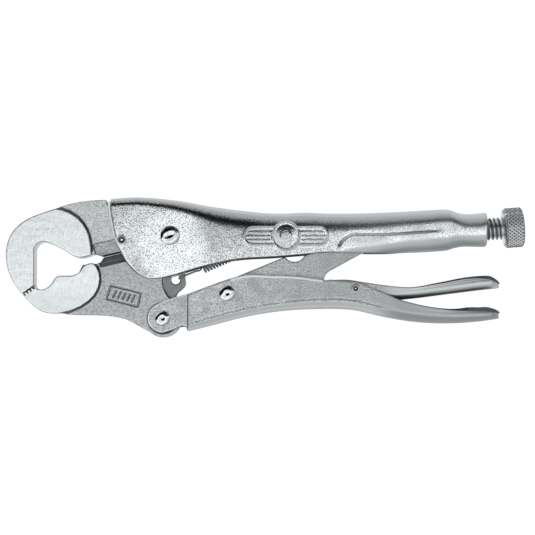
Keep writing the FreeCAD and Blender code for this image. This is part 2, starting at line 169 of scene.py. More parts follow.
def sheet_mesh(name, outer, inner, kinds, rim_steps=5, soften=5):
    """A closed sheet between two grids of points; kinds numbers the outer faces' materials."""
    rows, columns, _ = outer.shape
    index = np.arange(rows * columns).reshape(rows, columns)
    loop = np.concatenate([index[0, :-1], index[:-1, -1], index[-1, :0:-1], index[:0:-1, 0]])
    points = [outer.reshape(-1, 3), inner.reshape(-1, 3)]
    flat = grid_faces(rows, columns)
    faces = [flat, flat[:, ::-1] + rows * columns]
    rings = [loop]
    for i in range(1, rim_steps):
        share = i / rim_steps
        rings.append(np.arange(len(loop)) + sum(len(p) for p in points))
        points.append(points[0][loop] * (1 - share) + points[1][loop] * share)
    rings.append(loop + rows * columns)
    for a, b in zip(rings, rings[1:]):
        faces.append(np.stack([a, np.roll(a, -1), np.roll(b, -1), b], -1))
    points, faces = np.vstack(points), np.vstack(faces)
    weight = np.zeros(len(points))
    weight[2 * rows * columns:] = 0.5
    weight[rings[0]] = weight[rings[-1]] = 0.5
    near = np.zeros(rows * columns, bool).reshape(rows, columns)
    near[[1, -2], :] = near[:, [1, -2]] = True
    weight[:2 * rows * columns][np.tile(near.ravel(), 2)] = 0.25
    piece = make_mesh(name, relaxed(points, faces, weight, soften), faces)
    rest = np.repeat([2, 1], [len(flat), len(faces) - 2 * len(flat)])
    piece.data.polygons.foreach_set("material_index", np.concatenate([kinds.ravel(), rest]))
    return piece


def cast(name, node, voxel, soften, reshape=None, crisp=()):
    """A CAD node meshed finely: edges softened except near crisp points, then moved by reshape."""
    rough = bpy.data.objects.new(name + "_rough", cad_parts[node].data.copy())
    bpy.context.scene.collection.objects.link(rough)
    remesh = rough.modifiers.new("remesh", "REMESH")
    remesh.mode = "VOXEL"
    remesh.voxel_size = voxel * MM
    done = rough.evaluated_get(bpy.context.evaluated_depsgraph_get())
    mesh = bpy.data.meshes.new_from_object(done)
    bpy.data.objects.remove(rough)
    mesh.materials.clear()
    points = np.zeros(len(mesh.vertices) * 3)
    mesh.vertices.foreach_get("co", points)
    points = points.reshape(-1, 3) / MM - START
    corners = np.zeros(len(mesh.loops), int)
    mesh.loops.foreach_get("vertex_index", corners)
    weight = np.full(len(points), 0.5)
    for x, y, radius in crisp:
        weight[np.hypot(points[:, 0] - x, points[:, 1] - y) < radius] = 0.06
    points = relaxed(points, corners.reshape(-1, 4), weight, soften)
    if reshape:
        points = reshape(points)
    mesh.vertices.foreach_set("co", ((points + START) * MM).ravel())
    return link_mesh(name, mesh)


def lathe(name, profile, place, steps=48, dents=0.0):
    """A closed turned piece with both faces alike: profile is (radius, height) from the axis outward."""
    top = np.array(profile, float)
    whole = np.vstack([top, top[::-1] * [1, -1]])
    angles = np.linspace(0, 2 * math.pi, steps, endpoint=False)
    radius = np.maximum(whole[:, :1], 1e-4)
    rise = np.repeat(whole[:, 1:], steps, 1)
    points = np.stack([radius * np.cos(angles), radius * np.sin(angles), rise], -1)
    points = points.reshape(-1, 3)
    if dents:
        for point in points:
            inside = 1 - min(math.hypot(point[0], point[1]) / whole[:, 0].max(), 1) ** 4
            sample = Vector(point * 0.3) + Vector((place[0], place[1], 0))
            point[2] += math.copysign(dents, point[2]) * noise.noise(sample) * inside
    points += [place[0], place[1], 0]
    faces = grid_faces(len(whole), steps, wrap=True).tolist()
    faces.append(list(range(steps)))
    faces.append(list(range(len(points) - 1, len(points) - 1 - steps, -1)))
    return make_mesh(name, points, faces)


def tube(name, path, radius, sides=10):
    """Round wire along a path, closed at both ends."""
    path = np.asarray(path, float)
    along = np.gradient(path, axis=0)
    along /= np.linalg.norm(along, axis=1)[:, None]
    across = np.cross(along[0], [0.3, 0.2, 1.0])
    rings = []
    for point, forward in zip(path, along):
        across = across - forward * (across @ forward)
        across /= np.linalg.norm(across)
        other = np.cross(forward, across)
        angles = np.linspace(0, 2 * math.pi, sides, endpoint=False)
        rings.append(point + radius * (np.outer(np.cos(angles), across) + np.outer(np.sin(angles), other)))
    faces = grid_faces(len(path), sides, wrap=True).tolist()
    faces.append(list(range(sides))[::-1])
    faces.append(list(range(len(path) * sides - sides, len(path) * sides)))
    return make_mesh(name, np.vstack(rings), faces)


def plate(name, outline, low, high, rounding):
    """A flat plate with rounded edges from an (x, y) outline."""
    count = len(outline)
    points = np.vstack([np.column_stack([outline, np.full(count, z)]) for z in (low, high)])
    sides = [(i, (i + 1) % count, (i + 1) % count + count, i + count) for i in range(count)]
    piece = make_mesh(name, points, sides + [tuple(range(count))[::-1], tuple(range(count, 2 * count))])
    bevel = piece.modifiers.new("rounding", "BEVEL")
    bevel.width = rounding * MM
    bevel.segments = 3
    bevel.limit_method = "ANGLE"
    bevel.angle_limit = math.radians(50)
    bevel.harden_normals = True
    return piece


# ---- materials -------------------------------------------------------------------------------------------

class Shader:
    """A short way to write node trees."""

    def __init__(self, name):
        self.material = bpy.data.materials.new(name)
        self.material.use_nodes = True
        self.tree = self.material.node_tree
        self.skin = self.tree.nodes["Principled BSDF"]
        self.place = self.add("ShaderNodeTexCoord").outputs["Object"]
        self.normal = self.add("ShaderNodeTexCoord").outputs["Normal"]

    def add(self, kind, **settings):
        node = self.tree.nodes.new(kind)
        for key, value in settings.items():
            setattr(node, key, value)
        return node

    def link(self, value, socket):
        if hasattr(value, "links"):
            self.tree.links.new(value, socket)
        else:
            socket.default_value = value

    def math(self, operation, first, second=0.0, clamp=False):
        node = self.add("ShaderNodeMath", operation=operation, use_clamp=clamp)
        self.link(first, node.inputs[0])
        self.link(second, node.inputs[1])
        return node.outputs[0]

    def remap(self, value, low, high, start=0.0, end=1.0):
        node = self.add("ShaderNodeMapRange", interpolation_type="SMOOTHSTEP")
        for number, socket in zip((value, low, high, start, end), node.inputs):
            self.link(number, socket)
        return node.outputs[0]

    def part(self, vector, axis):
        node = self.add("ShaderNodeSeparateXYZ")
        self.link(vector, node.inputs[0])
        return node.outputs[axis]

    def grain(self, size, detail=2.0, stretch=(1, 1, 1), turn=0.0, roughness=0.5):
        """Noise with features of about size mm, stretched along its axes and turned about Z."""
        mapping = self.add("ShaderNodeMapping", vector_type="POINT")
        self.link(self.place, mapping.inputs["Vector"])
        mapping.inputs["Rotation"].default_value = (0, 0, turn)
        mapping.inputs["Scale"].default_value = tuple(1 / s for s in stretch)
        node = self.add("ShaderNodeTexNoise")
        self.link(mapping.outputs[0], node.inputs["Vector"])
        node.inputs["Scale"].default_value = 1 / (size * MM)
        node.inputs["Detail"].default_value = detail
        node.inputs["Roughness"].default_value = roughness
        return node.outputs["Fac"]

    def blend(self, factor, first, second):
        """Mix of two colours or, as grey, of two numbers."""
        node = self.add("ShaderNodeMix", data_type="RGBA")
        self.link(factor, node.inputs["Factor"])
        self.link(first, node.inputs[6])
        self.link(second, node.inputs[7])
        return node.outputs[2]

    def bump(self, layers):
        """Stack (height, depth in mm) layers into the surface's normal."""
        normal = None
        for height, depth in layers:
            node = self.add("ShaderNodeBump")
            node.inputs["Strength"].default_value = 1.0
            node.inputs["Distance"].default_value = depth * MM
            self.link(height, node.inputs["Height"])
            if normal is not None:
                self.link(normal, node.inputs["Normal"])
            normal = node.outputs[0]
        self.link(normal, self.skin.inputs["Normal"])

    def finish(self, colour, rough):
        self.skin.inputs["Metallic"].default_value = 1.0
        self.link(colour, self.skin.inputs["Base Color"])
        self.link(rough, self.skin.inputs["Roughness"])
        return self.material

    def band(self, value, rise, fall):
        """1 between two (start, end) ramps of a value, 0 outside them."""
        return self.math("MULTIPLY", self.remap(value, *rise), self.remap(value, *fall, 1.0, 0.0))

    def away(self, point):
        """Distance in the plane from a point on the drawing, in mm."""
        x = self.math("SUBTRACT", self.part(self.place, 0), (START[0] + point[0]) * MM)
        y = self.math("SUBTRACT", self.part(self.place, 1), (START[1] + point[1]) * MM)
        square = self.math("ADD", self.math("MULTIPLY", x, x), self.math("MULTIPLY", y, y))
        return self.math("DIVIDE", self.math("SQRT", square), MM)


EAR_R = 7.3


def grey(value, cool=0.045):
    """A grey of steel, a little cool."""
    return (value * (1 - cool), value, value * (1 + 0.5 * cool), 1.0)


def flatness(shader, low, high):
    """1 where the surface faces along the rivets, 0 on bends."""
    return shader.remap(uprightness(shader), low, high)


def uprightness(shader):
    return shader.math("ABSOLUTE", shader.part(shader.normal, 2))


def bend_tone_painted_light(shader, top, painted_under_shade, rim):
    """Grey of formed sheet with painted light: painted shade on its underside, a painted highlight on the
    rims that face the jaws.
    """
    down = shader.remap(shader.part(shader.normal, 1), -0.82, -0.99)
    front = shader.remap(shader.part(shader.normal, 0), -0.25, -0.6)
    return shader.blend(front, shader.blend(down, top, grey(painted_under_shade)), grey(rim))


def bright_nickel():
    """Plate over rolled sheet: a fine grain on the flat cheeks, smooth where the sheet was formed; painted
    shade in a darker zone behind the nose and a ragged dark band where the cheek turns up into the roof.
    """
    s = Shader("bright_nickel")
    across, along = s.part(s.place, 0), s.part(s.place, 1)
    flat = flatness(s, 0.90, 0.975)
    peel = s.grain(0.55, 2.0, roughness=0.6)
    clouds = s.grain(11.0, 2.0)
    nose = s.remap(s.away((-46, 9)), 21, 13)
    specks = s.remap(s.grain(0.5, 2.0, roughness=0.6), 0.51, 0.60)
    front = s.remap(across, -26 * MM, -40 * MM, 1.0, 0.55)
    specks = s.math("MULTIPLY", specks, s.math("MULTIPLY", front, s.remap(nose, 0.0, 1.0, 1.0, 0.5)))
    coarse = s.math("MULTIPLY", flat, s.remap(nose, 0.0, 1.0, 0.97, 0.5))
    depth = s.math("MULTIPLY", peel, s.math("ADD", coarse, 0.03))
    s.bump([(depth, 0.09), (s.grain(6.0, 1.0), 0.12)])
    cheek = s.blend(specks, s.blend(nose, grey(0.90), grey(0.94)), grey(0.38))
    cheek = s.blend(s.remap(clouds, 0.45, 0.65, 0.0, s.remap(nose, 0.0, 1.0, 0.6, 0.1)), cheek, grey(0.55))
    # painted shade: a darker zone behind the nose, stronger toward the roof
    behind_nose = s.band(across, (-38 * MM, -26 * MM), (-8 * MM, 6 * MM))
    painted_shade_behind_nose = s.math("MULTIPLY", behind_nose, s.remap(along, 4 * MM, 24 * MM))
    cheek = s.blend(s.math("MULTIPLY", painted_shade_behind_nose, 0.7), cheek, grey(0.34))
    tone = s.blend(flat, bend_tone_painted_light(s, grey(0.50), 0.50, 0.97), cheek)
    # painted shade: a ragged dark band on faces turning up toward the roof, weaker toward the rear and on
    # the collar
    rear = s.remap(across, -25 * MM, 45 * MM, 0.85, 0.3)
    rear = s.math("MULTIPLY", rear, s.remap(across, 84 * MM, 92 * MM, 1.0, 0.2))
    ragged = s.math("MULTIPLY", s.math("SUBTRACT", s.grain(0.55, 1.0), 0.5), 0.8)
    up = s.math("ADD", s.part(s.normal, 1), ragged)
    shade = s.band(up, (0.04, 0.14), (0.30, 0.46))
    tone = s.blend(s.math("MULTIPLY", shade, rear), tone, grey(0.06))
    rough = s.math("ADD", s.math("MULTIPLY", clouds, 0.06), s.remap(across, 15 * MM, 60 * MM, 0.17, 0.27))
    rough = s.math("ADD", rough, s.remap(s.part(s.normal, 1), -0.4, -0.8, 0.0, 0.35))
    return s.finish(tone, rough)


def ground_steel():
    """Forged jaws: bright ground faces with fine grinding lines, satin shanks, painted shade on the steps
    and bevels, a painted shadow ring round the lower handle's ear, and painted light that makes the faces
    lighter toward +Y.
    """
    s = Shader("ground_steel")
    height = s.math("ABSOLUTE", s.math("SUBTRACT", s.part(s.place, 2), MID * MM))
    upright = uprightness(s)
    head = s.remap(height, (HEAD_HALF - 0.25) * MM, (HEAD_HALF - 0.1) * MM)
    low = s.remap(height, (SHANK_HALF - 0.15) * MM, (SHANK_HALF - 0.4) * MM)
    wall = s.remap(upright, 0.16, 0.08)
    slope = s.math("MULTIPLY", s.remap(upright, 0.975, 0.9), s.math("SUBTRACT", 1.0, wall))
    lines = s.grain(0.55, 4.0, stretch=(0.7, 9.0, 1.0), turn=math.radians(-6), roughness=0.7)
    fine = s.grain(0.8, 3.0, roughness=0.65)
    s.bump([(s.blend(head, fine, lines), 0.09), (s.grain(3.0, 2.0), 0.08)])
    shank = s.blend(s.remap(fine, 0.42, 0.62), grey(0.62), grey(0.38))
    # painted light: the shanks lighter toward +Y
    upper = s.remap(s.part(s.place, 1), 0.004, 0.016)
    shank = s.blend(upper, shank, s.blend(s.remap(fine, 0.42, 0.62), grey(0.78), grey(0.52)))
    # painted shade on the cutter bevels below the shank faces, the lower bevel darker than the upper
    bevel_painted_shade = s.remap(s.part(s.place, 1), 0.0070, 0.0072)
    bevel_painted_shade = s.blend(bevel_painted_shade, grey(0.30), grey(0.46))
    shank = s.blend(low, shank, s.blend(s.remap(fine, 0.4, 0.65), bevel_painted_shade, grey(0.24)))
    bright = s.blend(s.remap(lines, 0.45, 0.66), grey(0.96), grey(0.78))
    # painted shade: the ground faces darker toward -Y
    bright = s.blend(s.remap(s.part(s.place, 1), -8 * MM, -23 * MM, 0.0, 0.55), bright, grey(0.70))
    tone = s.blend(head, shank, bright)
    # painted shadow: a thin dark ring on the jaw round the lower handle's ear
    hub = centre("handle_pivot_rivet")
    tone = s.blend(s.remap(s.away(hub), EAR_R + 0.9, EAR_R + 0.2), tone, grey(0.06))
    # painted shade on the sloped step between head and shank
    tone = s.blend(s.math("MULTIPLY", slope, s.math("SUBTRACT", 1.0, low)), tone, grey(0.10))
    tone = s.blend(wall, tone, grey(0.46))
    return s.finish(tone, s.blend(head, grey(0.36), grey(0.29)))


def satin_nickel(name, light, dark, tail_cheek, tail_edge):
    """Satin plate over pressed steel, finely grained but smooth toward the handles' tails; painted shade
    along the lower bend.
    """
    s = Shader(name)
    fine = s.grain(0.7, 4.0, roughness=0.65)
    clouds = s.grain(9.0, 2.0)
    flat = flatness(s, 0.90, 0.975)
    tail = s.remap(s.part(s.place, 0), 50 * MM, 66 * MM)
    coarse = s.math("MULTIPLY", flat, s.remap(tail, 0.0, 1.0, 0.95, 0.0))
    depth = s.math("MULTIPLY", fine, s.math("ADD", coarse, 0.05))
    s.bump([(depth, 0.2), (s.grain(6.0, 1.0), 0.1)])
    cheek = s.blend(s.remap(fine, 0.42, 0.62), grey(light), grey(dark))
    cheek = s.blend(s.remap(clouds, 0.45, 0.7, 0.0, 0.5), cheek, grey(dark))
    cheek = s.blend(s.remap(s.part(s.place, 0), -30 * MM, 45 * MM, 0.0, 0.45), cheek, grey(0.36))
    cheek = s.blend(tail, cheek, grey(tail_cheek))
    tone = s.blend(flat, bend_tone_painted_light(s, s.blend(tail, grey(0.48), grey(tail_edge)), 0.26, 0.9), cheek)
    # painted shade: a ragged dark line where the cheek turns down into the lower bend, fading toward the
    # tail
    ragged = s.math("MULTIPLY", s.math("SUBTRACT", s.grain(0.55, 1.0), 0.5), 0.45)
    down = s.math("ADD", s.part(s.normal, 1), ragged)
    fade = s.remap(tail, 0.0, 1.0, 0.75, 0.0)
    shade = s.math("MULTIPLY", s.band(down, (-0.38, -0.28), (-0.20, -0.12)), fade)
    tone = s.blend(shade, tone, grey(0.10))
    rough = s.math("ADD", s.math("MULTIPLY", clouds, 0.1), s.remap(tail, 0.0, 1.0, 0.24, 0.38))
    return s.finish(tone, rough)


def polished_rivet():
    s = Shader("rivet_steel")
    s.bump([(s.grain(2.5, 2.0), 0.10)])
    tone = s.blend(s.remap(s.grain(2.0, 2.0), 0.4, 0.65), grey(0.78), grey(0.58))
    # painted shade: a dark crescent on the faces leaning toward +Y and the jaws, and a darker grey on those
    # leaning toward -Y and the rear
    upward = s.math("MULTIPLY", s.part(s.normal, 1), 0.8)
    rearward = s.math("MULTIPLY", s.part(s.normal, 0), 0.6)
    lean = s.math("SUBTRACT", upward, rearward)
    tone = s.blend(s.band(lean, (0.08, 0.18), (0.40, 0.52)), tone, grey(0.05))
    tone = s.blend(s.remap(lean, -0.25, -0.5), tone, grey(0.42))
    return s.finish(tone, s.math("ADD", s.math("MULTIPLY", s.grain(1.0), 0.06), 0.12))


def spring_steel():
    s = Shader("spring_steel")
    s.bump([(s.grain(0.3), 0.02)])
    tone = s.blend(s.grain(1.2), grey(0.16), grey(0.36))
    return s.finish(tone, s.math("ADD", s.math("MULTIPLY", s.grain(0.8), 0.2), 0.25))


def knurled_steel():
    """Rolled thread, darker, and the brighter knurled head, with painted shade in the grooves."""
    s = Shader("knurled_steel")
    head = s.remap(s.part(s.place, 0), (KNURL_START - 0.2) * MM, (KNURL_START + 0.4) * MM)
    # painted shade: grooves dark and crests bright, by pointiness
    crest = s.add("ShaderNodeNewGeometry").outputs["Pointiness"]
    thread = s.blend(s.remap(crest, 0.46, 0.54), grey(0.12), grey(0.66))
    knob = s.blend(s.remap(crest, 0.44, 0.52), grey(0.06), grey(0.76))
    s.bump([(s.grain(0.4, 3.0), 0.03)])
    tone = s.blend(head, thread, knob)
    return s.finish(tone, s.math("ADD", s.math("MULTIPLY", s.grain(1.5), 0.15), 0.26))


def recess_painted_shade():
    """Painted shade in the bore of a tubular rivet, also laid in the groove round the domed heads and in
    the tip's notches.
    """
    s = Shader("recess_painted_shade")
    return s.finish(s.blend(s.grain(0.8), grey(0.05), grey(0.14)), 0.4)


def inside_painted_shade():
    """Painted shade on the inside of the pressed handles, also laid on the channels' rims."""
    s = Shader("inside_painted_shade")
    return s.finish(s.blend(s.grain(1.5, 3.0), grey(0.04), grey(0.15)), 0.5)


def sheared_edge_painted_light():
    """The rims of the sheet with painted light: a painted highlight where they face up or forward, painted
    shade on the underside and behind.
    """
    s = Shader("sheared_edge_painted_light")
    down = s.remap(s.part(s.normal, 1), -0.2, -0.6)
    back = s.remap(s.part(s.normal, 0), 0.15, 0.4)
    return s.finish(s.blend(s.math("MAXIMUM", down, back), grey(0.98), grey(0.10)), 0.65)


def dull_rim():
    """The rolled rims of the tubular rivets."""
    s = Shader("dull_rim")
    return s.finish(s.blend(s.grain(0.8), grey(0.34), grey(0.5)), 0.3)


RECESS_SHADE = recess_painted_shade()
DULL_RIM = dull_rim()
INSIDE_SHADE = inside_painted_shade()
SHEARED_PAINTED_LIGHT = sheared_edge_painted_light()
LEVER_NICKEL = satin_nickel("lever_nickel", 0.76, 0.40, 0.60, 0.45)
MATERIALS = {
    "bright_nickel": bright_nickel(),
    "ground_steel": ground_steel(),
    "satin_nickel": satin_nickel("satin_nickel", 0.76, 0.40, 0.42, 0.29),
    "rivet_steel": polished_rivet(),
    "spring_steel": spring_steel(),
    "knurled_steel": knurled_steel(),
}


def dress_sheet(piece, body, slot, rim, *nodes):
    """As dress, with another material for the sheet's rim, painted shade on the inside, and the sheared
    edge with its painted highlight and shade.
    """
    dress(piece, body, slot, *nodes)
    for material in (rim, INSIDE_SHADE, SHEARED_PAINTED_LIGHT):
        piece.data.materials.append(material)


def dress(piece, body, slot, *nodes):
    """Material of the slot, body if it follows just one, and hide the CAD nodes that the piece stands for.
    """
    piece.data.materials.append(MATERIALS[slot])
    if body:
        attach(piece, body)
    if nodes:
        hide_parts(*nodes)


# ---- upper handle ----------------------------------------------------------------------------------------

UPPER_TOP = smooth_curve([(-78, 33.2), (-62.3, 34.05), (-57.4, 33.8), (-42.7, 32.3), (-28.1, 29.8),
                          (-13.4, 27.9), (1.2, 26.5), (8, 26.4), (16, 26.8), (30.5, 26.4), (50, 26.6),
                          (64.7, 27.2), (79.3, 28.0), (86, 28.4), (89, 28.2), (92, 27.2), (95, 26.4),
                          (100.8, 26.3), (107, 27.0)])
UPPER_LOW = smooth_curve([(-57, -5.95), (-52, -5.7), (-47.3, -4.6), (-32.7, -0.2), (-16.2, 3.5), (3.6, 4.9),
                          (18.2, 6.1), (27, 7.0), (37, 7.0), (50, 6.9), (68, 7.2), (84, 8.0), (88, 8.4),
                          (91.6, 9.5), (95, 10.15), (100, 10.2), (107, 10.05)])
UPPER_HALF = smooth_curve([(-78, 8.0), (0, 8.0), (20, 8.1), (34, 8.2), (50, 8.5), (68, 8.8), (84, 8.9),
                           (89, 8.7), (94, 8.1), (100, 8.1), (107, 8.4)])
UPPER_BEND = smooth_curve([(-78, 3.2), (-60, 3.6), (-40, 4.6), (-18, 6.4), (0, 6.6), (20, 6.8),
                           (34, 7.0), (50, 7.2), (68, 7.4), (84, 7.6), (95, 8.0), (100, 8.0),
                           (107, 8.3)])
BEND_TALL = smooth_curve([(-78, 4.2), (-60, 4.6), (-40, 6.4), (-25, 9.4), (0, 10.4), (25, 10.4),
                          (50, 9.2), (75, 7.8), (89, 7.6), (95, 8.0), (107, 8.3)])
CURL = smooth_curve([(30, 0.0), (34, 0.12), (38, 0.34), (43, 0.44), (50, 0.52), (56, 0.62), (62, 0.75),
                     (70, 0.87), (80, 0.97), (88, 1.0), (107, 1.0)])
CURL_TALL = smooth_curve([(24, 8.9), (60, 8.9), (84, 9.4), (89, 9.2), (95, 8.1), (107, 8.4)])
NOSE_X = smooth_curve([(-6.0, -57), (-5.3, -59.6), (-3.6, -62.8), (-0.7, -66.2), (2.2, -68.6),
                       (6.1, -70.8), (9.5, -72.7), (13.9, -74.7), (19.2, -75.9), (25, -77.1),
                       (31, -77.8), (34, -77.8)])
NOSE_TOP_X = -77.8
NOSE_FADE_END = -36.0
SEAM_HALF = 0.7
COLLAR_END = 107.0
HALF_ROWS = 72


def upper_section(x):
    """Half of the upper handle's section at x, from its open edge up to the middle of the roof."""
    top, low, half, bend = UPPER_TOP(x), UPPER_LOW(x), UPPER_HALF(x), UPPER_BEND(x)
    bend_tall = BEND_TALL(x)
    turn = CURL(x) * math.pi / 2
    wide, tall = half - SEAM_HALF, CURL_TALL(x)
    angles = np.linspace(turn, 0, 30)
    centre_y = low + tall * math.sin(turn)
    curl = np.stack([centre_y - tall * np.sin(angles), half - wide * (1 - np.cos(angles))], -1)
    around = np.radians(np.linspace(0, 90, 24))
    shoulder_y = top - bend_tall + bend_tall * np.sin(around)
    shoulder = np.stack([shoulder_y, half - bend + bend * np.cos(around)], -1)
    line = np.vstack([curl if turn > 0.01 else curl[-1:], shoulder, [[top, 0.0]]])
    return spaced(line, HALF_ROWS, 1.2)


def curl_bulge(x, y):
    """Height of the curled lower edge over the cheek, with a crease along its rounded front and top."""
    front, rear, run = 34.0, 43.5, 9.5
    rise = np.sqrt(np.clip(1 - (np.clip(rear - x, 0, run) / run) ** 2, 0, 1))
    seam = UPPER_LOW(x) + (CURL_TALL(x) + 0.3) * rise
    reach = step(front, front + 1.5, x) * (1 - step(76, 88, x))
    crease = 0.4 * (1 - 0.9 * step(42, 70, x))
    return reach * (0.5 * step(-0.1, 1.1, seam - y) - crease * ridge(y - seam - 0.2, 0.6))


def ridge(distance, width):
    """A rounded ridge about a line, by distance from the line."""
    return np.exp(-(distance / width) ** 2)


def stadium_pad(x, y):
    """Height of the pressed grip pad: a rounded outline, plain long ridges and a plain disc."""
    middle, half_length, half_height, disc, pitch = (9.0, 14.7), 20.8, 4.7, 6.9, 1.9
    along = x - middle[0]
    away = y - middle[1]
    past = np.maximum(np.abs(along) - (half_length - half_height), 0)
    edge = np.hypot(past, away) - half_height
    round_edge = np.hypot(along, away * 0.98) - disc
    outside = step(-0.2, 0.3, round_edge)
    frame_line = np.maximum(ridge(edge + 0.5, 0.42) * outside, ridge(round_edge + 0.3, 0.42))
    inside = 1 - step(-2.3, -1.7, edge)
    ridges = np.maximum(np.cos(2 * math.pi * away / pitch), 0) * inside * step(0.9, 1.5, round_edge)
    boss = 0.6 * (1 - step(2.4, 3.2, np.hypot(along, away)))
    return 0.65 * np.maximum(np.maximum(frame_line, 0.8 * ridges), boss)


def upper_handle():
    stations = np.linspace(-78, COLLAR_END, 700)
    table = np.array([upper_section(x) for x in stations])
    columns = np.concatenate([[NOSE_TOP_X], np.linspace(NOSE_TOP_X + 1.1, -12, 91, endpoint=False),
                              np.linspace(-12, 31, 124, endpoint=False), np.linspace(31, COLLAR_END, 100)])
    fade = 1 - np.clip((columns - NOSE_TOP_X) / (NOSE_FADE_END - NOSE_TOP_X), 0, 1)
    grid = np.zeros((len(columns), HALF_ROWS, 3))
    for j in range(HALF_ROWS):
        x = columns.copy()
        for _ in range(4):
            y = np.interp(x, stations, table[:, j, 0])
            x = columns + (NOSE_X(y) - NOSE_TOP_X) * fade
        grid[:, j] = np.stack([x, y, np.interp(x, stations, table[:, j, 1])], -1)
    along = np.gradient(grid, axis=0)
    across = np.gradient(grid, axis=1)
    outward = np.cross(along, across)
    outward /= np.maximum(np.linalg.norm(outward, axis=2), 1e-9)[:, :, None]
    outward[:, -1] = [0, 1, 0]
    sheet = UPPER_SHEET + 0.3 * step(88, 95, grid[:, :, 0])
    inner = grid - outward * sheet[:, :, None]
    raised = stadium_pad(grid[:, :, 0], grid[:, :, 1]) + curl_bulge(grid[:, :, 0], grid[:, :, 1])
    raised *= step(3, 5, grid[:, :, 2])
    outer = grid + outward * raised[:, :, None]
    outer[0] += (inner[0] - outer[0]) * 0.5
    outer[:, 0] += (inner[:, 0] - outer[:, 0]) * 0.25
    whole = [np.concatenate([side, side[:, -2::-1] * [1, 1, -1]], axis=1) for side in (outer, inner)]
    # the nose's front row of faces takes the sheared edge with its painted highlight
    edge = np.full((len(columns) - 1, 2 * HALF_ROWS - 2), 0)
    edge[0] = 1
    piece = sheet_mesh("upper_handle_shell", whole[0], whole[1], edge)
    dress_sheet(piece, "frame", "bright_nickel", SHEARED_PAINTED_LIGHT, "upper_handle")


# ---- jaws and toggle link --------------------------------------------------------------------------------

FIXED_STEP = [(-85.7, 5.9), (-85.9, 9), (-86.5, 13.3), (-87.8, 17.3), (-89.9, 20.9), (-92.6, 23.9),
              (-96.4, 26.3), (-100, 27.7), (-103.7, 28.3)]
MOVING_STEP = [(-84.7, 1.7), (-82.9, -0.6), (-82.0, -3.4), (-81.7, -6.8), (-82.4, -10.2),
               (-84.2, -13.6), (-87.0, -16.5), (-90.8, -19.1), (-95.6, -21.2), (-101, -22.5)]
STEP_RUN = 1.25
TIP_IN = (-113.5, -9.0)
TIP_OUT = (-119.2, -13.1)
CRISP = [(-117.5, -11.0, 5.5), (-80.5, 5.0, 2.6), (-76.5, 6.0, 2.2), (-73.0, 6.8, 2.2)]
MARK_FRAME = [(-76.4, -8.9), (-61.6, -12.6), (-63.2, -19.2), (-78.2, -15.4)]


def step_fillet(points, line):
    """Slope the drop from a jaw's head to its shank over STEP_RUN mm."""
    away = np.clip(line_distance(points[:, :2], line) / STEP_RUN, 0, 1)
    ends = [np.linalg.norm(points[:, :2] - line[i], axis=1) for i in (0, -1)]
    share = (1 - away) ** 1.6 * step(0.8, 2.5, np.minimum(*ends))
    height = np.abs(points[:, 2])
    wanted = SHANK_HALF + (HEAD_HALF - 0.1 - SHANK_HALF) * share
    lifted = (height > SHANK_HALF - 0.35) & (height < HEAD_HALF - 0.2) & (wanted > height)
    points[:, 2] = np.where(lifted, np.sign(points[:, 2]) * wanted, points[:, 2])
    return points


def stamped_frame(points):
    """Press a plain frame with slanting bars into the face of the moving jaw's shank."""
    corners = np.array(MARK_FRAME)
    flat = points[:, :2]
    groove = line_distance(flat, corners, closed=True)
    for share in (0.2, 0.35, 0.5, 0.65, 0.8):
        top = corners[0] + (corners[1] - corners[0]) * (share + 0.04)
        low = corners[3] + (corners[2] - corners[3]) * (share - 0.04)
        bar = [top + (low - top) * 0.25, top + (low - top) * 0.75]
        groove = np.minimum(groove, line_distance(flat, bar))
    depth = 0.34 * (1 - step(0.1, 0.55, groove))
    face = points[:, 2] > SHANK_HALF - 0.5
    points[:, 2] -= np.where(face, depth, 0)
    return points


def shade_notches(piece):
    """Painted shade on the faces in and below the tip's V notches."""
    piece.data.materials.append(RECESS_SHADE)
    start, end = np.array(TIP_IN), np.array(TIP_OUT)
    run = end - start
    deep = np.array([-run[1], run[0]]) / np.linalg.norm(run)
    middles = np.array([tuple(face.center) for face in piece.data.polygons])[:, :2] / MM - START[:2]
    dark = np.zeros(len(middles), bool)
    for share in (0.125, 0.375, 0.625, 0.875):
        mouth = start + run * share
        dark |= line_distance(middles, [mouth, mouth + deep * 1.5]) < 0.36
    kinds = np.where(dark, 1, 0)
    piece.data.polygons.foreach_set("material_index", kinds)


def jaws():
    piece = cast("fixed_jaw_forging", "fixed_jaw", 0.3, 3, lambda p: step_fillet(p, FIXED_STEP), CRISP)
    dress(piece, "frame", "ground_steel", "fixed_jaw")
    marked = lambda points: stamped_frame(step_fillet(points, MOVING_STEP))
    piece = cast("moving_jaw_forging", "moving_jaw", 0.3, 3, marked, CRISP)
    dress(piece, "jaw", "ground_steel", "moving_jaw")
    shade_notches(piece)
    piece = cast("toggle_link_forging", "toggle_link", 0.3, 3)
    dress(piece, "toggle", "satin_nickel", "toggle_link")


# ---- lower handle and release lever: channels open above -------------------------------------------------

